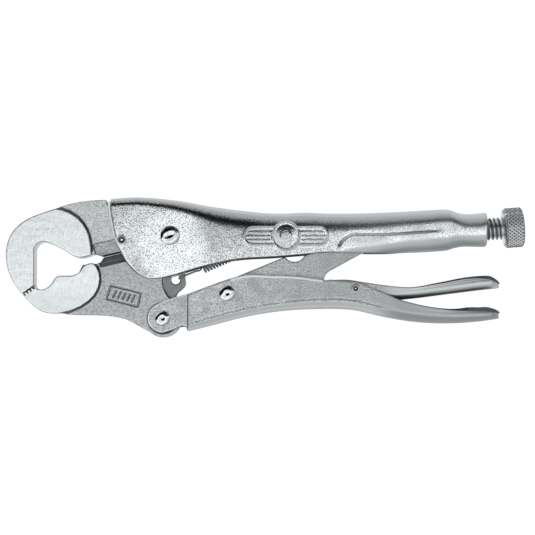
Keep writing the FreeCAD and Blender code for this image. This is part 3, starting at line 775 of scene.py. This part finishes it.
class Channel:
    """A pressed channel, open above: its floor, wall spread, bend radius and rims along X."""

    def __init__(self, stations, rim):
        columns = list(zip(*stations))
        curves = [smooth_curve(list(zip(columns[0], column))) for column in columns[1:]]
        self.top, self.low, self.half_top, self.half_low, self.bend = curves
        self.rim = smooth_curve(rim)

    def section(self, x, rows):
        """Half of the section at x, from the rim down to the middle of the floor, as (y, z)."""
        top, low, rim = self.top(x), self.low(x), self.rim(x)
        foot, head = self.half_low(x), self.half_top(x)
        slope = (head - foot) / (top - low)
        lean = math.atan(slope)
        bend = min(float(self.bend(x)), (rim - low) * 0.8)
        reach = bend * math.tan((math.pi / 2 - lean) / 2)
        middle = (low + bend, foot - reach)
        angles = np.linspace(-lean, math.pi / 2, 18)
        corner = np.stack([middle[0] - bend * np.sin(angles), middle[1] + bend * np.cos(angles)], -1)
        edge = (rim, foot + slope * (rim - low))
        return spaced(np.vstack([[edge], corner, [[low, 0.0]]]), rows)

    def build(self, name, start, end, sheet, columns, rows, tip, bright):
        """The channel's mesh: it closes in over the last tip mm, and a painted highlight line runs along
        its rim between two x.
        """
        xs = np.linspace(start, end, columns)
        grid = np.zeros((columns, rows, 3))
        for i, x in enumerate(xs):
            grid[i, :, 0] = x
            grid[i, :, 1:] = self.section(x, rows)
        close = np.sqrt(np.clip(1 - np.clip((xs - end + tip) / tip, 0, 1) ** 2, 0.16, 1))
        grid[:, :, 2] *= close[:, None]
        along = np.gradient(grid, axis=0)
        across = np.gradient(grid, axis=1)
        outward = np.cross(across, along)
        outward /= np.maximum(np.linalg.norm(outward, axis=2), 1e-9)[:, :, None]
        outward[:, -1] = [0, -1, 0]
        thin = sheet * (1 - 0.55 * step(end - 7, end, xs))
        inner = grid - outward * thin[:, None, None]
        whole = [np.concatenate([side, side[:, -2::-1] * [1, 1, -1]], axis=1) for side in (grid, inner)]
        beside = np.minimum(np.arange(2 * rows - 2), np.arange(2 * rows - 2)[::-1])
        line = (beside[None] < 3) & (xs[:-1, None] > bright[0]) & (xs[:-1, None] < bright[1])
        return sheet_mesh(name, whole[0], whole[1], np.where(line, 3, 0))


# x, top, floor, half width at the top and at the floor, bend radius
LOWER = [(-40, 12, -31.6, 6.8, 6.8, 4.4), (-26, 12, -28.1, 6.8, 6.8, 5.0), (-12, 12, -24.5, 6.9, 6.9, 5.0),
         (4, 12, -21.7, 7.5, 7.4, 5.0), (24, 12, -20.4, 8.5, 8.5, 5.8), (42, 12, -20.9, 8.6, 8.5, 5.6),
         (56, -4, -24.0, 8.7, 8.5, 5.6), (72, -13, -26.6, 8.9, 8.1, 5.2), (90, -18, -27.3, 8.7, 7.0, 4.4),
         (104, -19, -26.3, 8.9, 6.4, 4.0), (114, -20, -24.9, 8.2, 6.0, 4.0)]
LOWER_RIM = [(-39.2, -13.3), (-13.6, -4.5), (-11.0, -3.95), (1.2, -4.1), (15.8, -4.8), (26.4, -6.3),
             (37.6, -7.0), (44.9, -8.0), (49.7, -9.9), (57, -12.8), (64.3, -16.0), (69.1, -17.4),
             (78.8, -19.6), (88.5, -21.0), (98.2, -21.8), (107.9, -22.0), (111.4, -22.3),
             (112.8, -22.7)]
LEVER = [(26, 4, -12.0, 6.1, 6.1, 2.6), (34, 4, -16.0, 6.1, 6.1, 3.2), (44, 4, -17.4, 6.1, 6.1, 3.4),
         (58, -2, -16.4, 6.2, 6.0, 3.6), (72, -6, -15.1, 6.9, 5.8, 3.6), (88, -4, -13.1, 8.0, 5.6, 3.6),
         (104, -3, -11.1, 8.6, 5.6, 3.6), (114, -5, -10.0, 8.2, 5.4, 3.0)]
LEVER_RIM = [(26.6, -9.0), (28.4, -6.9), (33, -6.3), (40, -6.3), (44.9, -7.1), (57, -8.9), (70.1, -10),
             (83.7, -8.2), (98.2, -5.9), (103.1, -5.8), (107.9, -6.4), (111.6, -7.7), (113, -8.4)]
CHEEK_IN = 5.5


def lower_handle():
    channel = Channel(LOWER, LOWER_RIM)
    piece = channel.build("lower_handle_channel", -39.0, 112.8, LOWER_SHEET, 230, 52, 5.0, (-18, 26))
    # the channel's rims take the painted inside shade
    dress_sheet(piece, "handle", "satin_nickel", INSIDE_SHADE, "lower_handle")
    hub = centre("handle_pivot_rivet")
    front = arc(hub, EAR_R, 115, 270, 40)
    belly = np.array([(-47.3, -31.2), (-45.4, -30.6), (-43.4, -29.6), (-41.6, -28.9), (-40.2, -29.0),
                      (-38.5, -30.2)])
    back = np.array([(-38.5, -13.0), (-44, -14.6), (-48, -15.8), (-50.6, -16.7)])
    outline = np.vstack([front, belly, back])
    for name, low, high in (("fork_ear_upper", CHEEK_IN, CHEEK_IN + LOWER_SHEET),
                            ("fork_ear_lower", -CHEEK_IN - LOWER_SHEET, -CHEEK_IN)):
        ear = plate(name, outline, low, high, 0.7)
        # the ears' rounded edges take the sheared edge with its painted highlight and shade
        dress_sheet(ear, "handle", "satin_nickel", SHEARED_PAINTED_LIGHT)
        ear.modifiers["rounding"].material = 1


def release_lever():
    channel = Channel(LEVER, LEVER_RIM)
    piece = channel.build("release_lever_channel", 26.6, 113.0, LEVER_SHEET, 150, 40, 5.0, (0, 0))
    # the channel's rims take the painted inside shade
    dress_sheet(piece, "lever", "satin_nickel", INSIDE_SHADE, "release_lever")
    piece.data.materials[0] = LEVER_NICKEL


# ---- rivets ----------------------------------------------------------------------------------------------

def domed_rivet(node, body, head, shaft, dents):
    """A peened head on both faces: a low dome with a centre dimple and a fine groove at its foot."""
    face_top = half_height(node)
    rise = 1.1
    radii = np.linspace(0, 1, 26)
    dome = face_top - rise * radii ** 3.4 * 0.85
    dimple = 0.4 * np.exp(-(radii / 0.24) ** 2)
    profile = [(head * r, d - c) for r, d, c in zip(radii, dome, dimple)]
    profile += [(head, face_top - rise - 0.15), (shaft, face_top - rise - 0.2)]
    piece = lathe(node + "_head", profile, centre(node), 64, dents)
    dress(piece, body, "rivet_steel", node)
    # painted shade in the groove at the foot of the head
    paint_ring(piece, RECESS_SHADE, centre(node), head * 0.955, head * 1.1)


def paint_ring(piece, material, middle, inner, outer):
    """Give the faces between two radii another material."""
    piece.data.materials.append(material)
    for face in piece.data.polygons:
        away = (Vector(face.center) / MM - Vector(START + middle)).to_2d().length
        if inner < away < outer:
            face.material_index = len(piece.data.materials) - 1


def ring_rivet(node, body, head, bore, shaft, depth):
    """A tubular rivet: a rolled rim round an open bore."""
    top = half_height(node)
    middle, half_width = (head + bore) / 2, (head - bore) / 2
    around = np.linspace(math.pi, 0, 12)
    rim = [(middle + half_width * math.cos(a), top - 0.3 + 0.3 * math.sin(a)) for a in around]
    profile = [(0, top - depth), (bore * 0.4, top - depth), (bore * 0.85, top - depth - 0.1)]
    profile += rim + [(head, top - 0.75), (shaft, top - 0.8)]
    piece = lathe(node + "_rim", profile, centre(node), 48)
    dress(piece, body, "rivet_steel", node)
    paint_ring(piece, DULL_RIM, centre(node), bore, head)
    # painted shade in the bore
    paint_ring(piece, RECESS_SHADE, centre(node), bore * 0.4, bore + 0.35)


def rivets():
    domed_rivet("jaw_pivot_rivet", "frame", 4.7, 3.5, 0.25)
    domed_rivet("handle_pivot_rivet", "handle", 3.6, 2.8, 0.2)
    domed_rivet("toggle_rivet", "handle", 3.8, 2.9, 0.0)
    ring_rivet("release_lever_rivet", "handle", 2.2, 0.8, 1.6, 0.35)
    ring_rivet("fixed_jaw_rivet", "frame", 2.3, 1.3, 1.9, 0.35)


# ---- return spring and adjusting screw -------------------------------------------------------------------

SPRING_FRONT = np.array([-32.0, -0.7, 0.0])
SPRING_SLOPE = math.radians(23.5)
COIL_R = 2.3
WIRE_R = 0.46
COIL_PITCH = 1.55
COILS = 24
EAR_HALF = 2.4
SPRING_HOLE = np.array([-44.8, -6.1, 0.0])
SPRING_HOLE_R = 2.2


def return_spring():
    """Hooked at the moving jaw's ear and at the tab in the roof, coiled between."""
    axis = np.array([math.cos(SPRING_SLOPE), math.sin(SPRING_SLOPE), 0])
    side = np.array([-axis[1], axis[0], 0])
    up = np.array([0, 0, 1.0])
    turns = np.linspace(0, COILS, COILS * 28)
    angles = 2 * math.pi * turns
    coil = (SPRING_FRONT + np.outer(turns * COIL_PITCH, axis)
            + COIL_R * (np.outer(np.cos(angles), up) + np.outer(np.sin(angles), side)))
    hang = SPRING_HOLE + axis * (SPRING_HOLE_R - WIRE_R)
    lift = up * (EAR_HALF + WIRE_R + 0.3)
    front = [hang - lift * 0.8, hang, hang + lift * 0.7, hang + axis * 0.9 + lift * 1.05,
             hang + axis * 3 + lift, SPRING_FRONT - axis * 3 + lift * 0.9,
             SPRING_FRONT - axis * 1.0 - side * 0.6 + up * COIL_R]
    rear_end = SPRING_FRONT + axis * COIL_PITCH * COILS
    rear = [rear_end + axis * 1.0 + up * COIL_R * 0.9, rear_end + axis * 1.8 + up,
            np.array([9.6, 16.8, 0.0])]
    path = np.vstack([spaced(np.array(front), 40), coil, spaced(np.array(rear), 12)])
    smooth = path.copy()
    for _ in range(3):
        smooth[1:-1] = (smooth[:-2] + 2 * smooth[1:-1] + smooth[2:]) / 4
    piece = tube("return_spring_wire", smooth, WIRE_R)
    dress(piece, None, "spring_steel", "return_spring")
    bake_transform(piece)


SCREW_END = 58.2
SCREW_END_Y = 15.1965
ROD_LENGTH = KNURL_START + 1 - SCREW_END
KNURL_R = 9.75
KNURL_LENGTH = 9.8
THREAD_R = 5.5
THREAD_DEPTH = 1.05
THREAD_PITCH = 2.0
KNURL_TEETH = 34


def sawtooth(value):
    """0 at whole numbers, 1 half way between."""
    return 1 - np.abs((value % 1.0) * 2 - 1)


def along_screw(radius, distance, angles):
    """Points round the screw's axis at each distance from its tip."""
    forward = np.array([math.cos(SCREW_SLOPE), math.sin(SCREW_SLOPE), 0])
    side = np.array([-forward[1], forward[0], 0])
    tip = np.array([SCREW_END, SCREW_END_Y, 0])
    ring = np.outer(np.cos(angles), side) + np.outer(np.sin(angles), [0, 0, 1.0])
    return tip + distance[:, None, None] * forward + radius[:, :, None] * ring[None]


def adjusting_screw():
    """One turned bar: a rolled thread, and a head with a diamond knurl and chamfered ends."""
    angles = np.linspace(0, 2 * math.pi, 60, endpoint=False)
    rod = np.linspace(0, ROD_LENGTH + 0.4, 420)
    phase = rod[:, None] / THREAD_PITCH - angles[None] / (2 * math.pi)
    groove = np.clip(sawtooth(phase) * 1.5 - 0.2, 0, 1)
    radius = THREAD_R - THREAD_DEPTH + THREAD_DEPTH * groove
    radius = np.minimum(radius, 3.8 + rod[:, None] * 0.9)
    points = along_screw(radius, rod, angles).reshape(-1, 3)
    faces = grid_faces(len(rod), len(angles), wrap=True).tolist()
    faces.append(list(range(len(angles)))[::-1])
    faces.append(list(range(len(points) - len(angles), len(points))))
    dress(make_mesh("adjusting_screw_thread", points, faces), "screw", "knurled_steel", "adjusting_screw")

    angles = np.linspace(0, 2 * math.pi, KNURL_TEETH * 12, endpoint=False)
    ends = [(0.0, 0.0), (0.0, 4.2), (0.0, 8.0), (0.15, 8.6), (0.7, 9.2), (1.1, 9.45)]
    body = [(d, KNURL_R) for d in np.linspace(1.4, KNURL_LENGTH - 1.5, 64)]
    close = [(KNURL_LENGTH - 1.1, 9.65), (KNURL_LENGTH - 0.55, 9.2), (KNURL_LENGTH - 0.15, 8.4),
             (KNURL_LENGTH, 7.4), (KNURL_LENGTH, 4.0), (KNURL_LENGTH, 0.0)]
    distance, base = np.array(ends + body + close).T
    count = angles[None] * KNURL_TEETH / (2 * math.pi)
    lead = distance[:, None] / 2.1
    diamonds = np.minimum(sawtooth(count + lead), sawtooth(count - lead)) * 1.5
    knurled = step(1.1, 1.6, distance) * (1 - step(KNURL_LENGTH - 0.9, KNURL_LENGTH - 0.3, distance))
    radius = base[:, None] - 0.65 * knurled[:, None] * (1 - np.clip(diamonds, 0, 1))
    points = along_screw(np.maximum(radius, 1e-3), distance + ROD_LENGTH, angles).reshape(-1, 3)
    faces = grid_faces(len(distance), len(angles), wrap=True)
    dress(make_mesh("adjusting_screw_knob", points, faces), "screw", "knurled_steel")


# ---- the picture: camera, light and floor ----------------------------------------------------------------

CAMERA_UP = 880.0
CAMERA_BACK = 48.0
FRAME_WIDTH = 261.8


def set_camera():
    """Straight above the tool, leaning a little toward the lower handle."""
    data = bpy.data.cameras.new("camera")
    camera = bpy.data.objects.new("camera", data)
    bpy.context.scene.collection.objects.link(camera)
    camera.location = (Vector((0, -CAMERA_BACK, CAMERA_UP)) + Vector(START)) * MM
    aim = Vector(START) * MM - camera.location
    camera.rotation_euler = aim.to_track_quat("-Z", "Y").to_euler()
    data.sensor_width = 36
    data.lens = data.sensor_width * aim.length / (FRAME_WIDTH * MM)
    data.clip_start = 0.01
    bpy.context.scene.camera = camera


# light from round the tool, as (degrees from overhead, brightness); + is beyond the upper handle
STRIPS = [(-180, 0.55), (-110, 0.75), (-60, 0.90), (-36, 0.90), (-30, 1.6), (-18, 1.6), (-14, 0.30),
          (-10, 0.35), (-6, 1.38), (8, 1.38), (11, 0.10), (16, 0.02), (42, 0.02), (54, 0.80),
          (80, 0.92), (180, 0.70)]
TURN = math.radians(20)


def set_world():
    """A studio of long strips beside the tool: bright overhead, dark next to that, pale walls."""
    world = bpy.data.worlds.new("studio")
    bpy.context.scene.world = world
    world.use_nodes = True
    nodes, links = world.node_tree.nodes, world.node_tree.links
    split = nodes.new("ShaderNodeSeparateXYZ")
    turned = nodes.new("ShaderNodeVectorRotate")
    turned.rotation_type = "Z_AXIS"
    turned.inputs["Angle"].default_value = -TURN
    links.new(nodes.new("ShaderNodeTexCoord").outputs["Generated"], turned.inputs["Vector"])
    links.new(turned.outputs[0], split.inputs[0])
    angle = nodes.new("ShaderNodeMath")
    angle.operation = "ARCTAN2"
    links.new(split.outputs[1], angle.inputs[0])
    links.new(split.outputs[2], angle.inputs[1])
    spread = nodes.new("ShaderNodeMapRange")
    spread.inputs["From Min"].default_value = -math.pi
    spread.inputs["From Max"].default_value = math.pi
    links.new(angle.outputs[0], spread.inputs[0])
    ramp = nodes.new("ShaderNodeValToRGB")
    links.new(spread.outputs[0], ramp.inputs[0])
    while len(ramp.color_ramp.elements) < len(STRIPS):
        ramp.color_ramp.elements.new(0.5)
    for element, (degrees, value) in zip(ramp.color_ramp.elements, STRIPS):
        element.position = degrees / 360 + 0.5
        element.color = (value, value, value, 1)
    sides = nodes.new("ShaderNodeMapRange")
    links.new(split.outputs[0], sides.inputs[0])
    for socket, value in zip(list(sides.inputs)[1:5], (-0.8, 0.8, 1.15, 0.8)):
        socket.default_value = value
    links.new(ramp.outputs[0], nodes["Background"].inputs["Color"])
    links.new(sides.outputs[0], nodes["Background"].inputs["Strength"])


def set_floor():
    """A plain pale floor."""
    side = 3.0
    mesh = bpy.data.meshes.new("floor")
    corners = [(-side, -side, 0), (side, -side, 0), (side, side, 0), (-side, side, 0)]
    mesh.from_pydata(corners, [], [(0, 1, 2, 3)])
    floor = bpy.data.objects.new("floor", mesh)
    bpy.context.scene.collection.objects.link(floor)
    s = Shader("floor")
    s.skin.inputs["Base Color"].default_value = grey(0.05)
    s.skin.inputs["Roughness"].default_value = 0.9
    s.skin.inputs["Emission Color"].default_value = grey(1.0, cool=0.0)
    s.skin.inputs["Emission Strength"].default_value = 1.0
    mesh.materials.append(s.material)


def main():
    set_camera()
    set_world()
    set_floor()
    bpy.context.scene.view_settings.view_transform = "Standard"
    upper_handle()
    jaws()
    lower_handle()
    release_lever()
    rivets()
    return_spring()
    adjusting_screw()


main()
